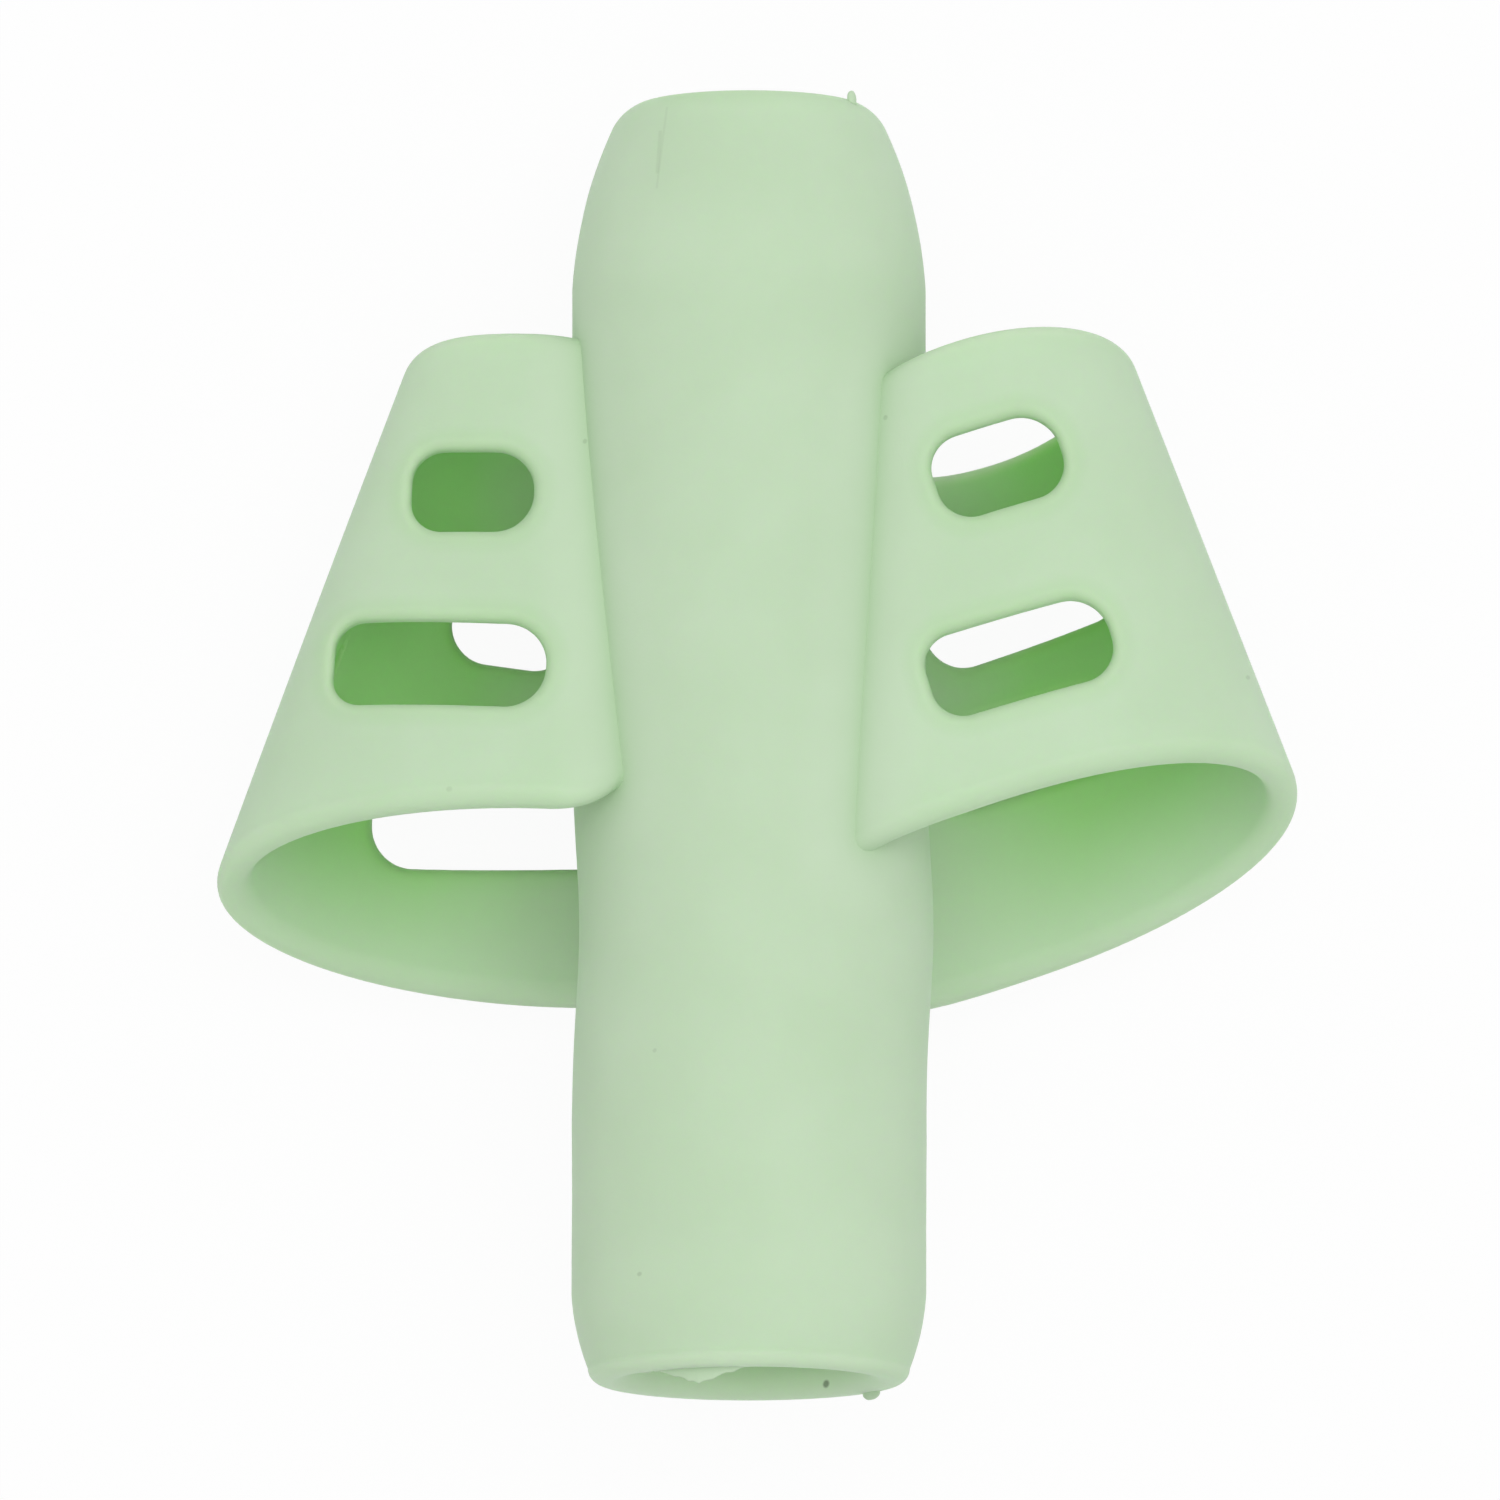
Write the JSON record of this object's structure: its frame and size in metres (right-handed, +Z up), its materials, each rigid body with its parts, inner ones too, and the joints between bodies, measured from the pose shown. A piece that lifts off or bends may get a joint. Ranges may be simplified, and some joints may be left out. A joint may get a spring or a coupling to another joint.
{
  "type": "pencil grip",
  "caption": "Soft rubber pencil grip: a sleeve slides on the pencil and a slotted, tapered cup on each side holds a fingertip and flexes about the sleeve.",
  "frame": {"origin": "on the table, under the middle of the grip's bounding box, as it lies on its nose and the backs of its cups", "axes": "+Y towards the nose, +X towards the right-hand cup, +Z up from the table"},
  "size_m": [0.037, 0.0444, 0.0169],
  "materials": {
    "mint_silicone": "matte translucent moulded silicone"
  },
  "bodies": {
    "sleeve": {"pencil_sleeve": "mint_silicone"},
    "left_cup": {"left_finger_cup": "mint_silicone"},
    "right_cup": {"right_finger_cup": "mint_silicone"}
  },
  "joints": [
    {"name": "left_cup_swing", "type": "hinge", "parent": "sleeve", "child": "left_cup", "pos_m": [-0.00027, 0.00083, 0.00815], "axis": [0, 0.9896, -0.144], "range_deg": [-12, 12], "stiffness_Nm_per_rad": 0.03},
    {"name": "right_cup_swing", "type": "hinge", "parent": "sleeve", "child": "right_cup", "pos_m": [-0.00027, 0.00083, 0.00815], "axis": [0, 0.9896, -0.144], "range_deg": [-12, 12], "stiffness_Nm_per_rad": 0.03}
  ]
}
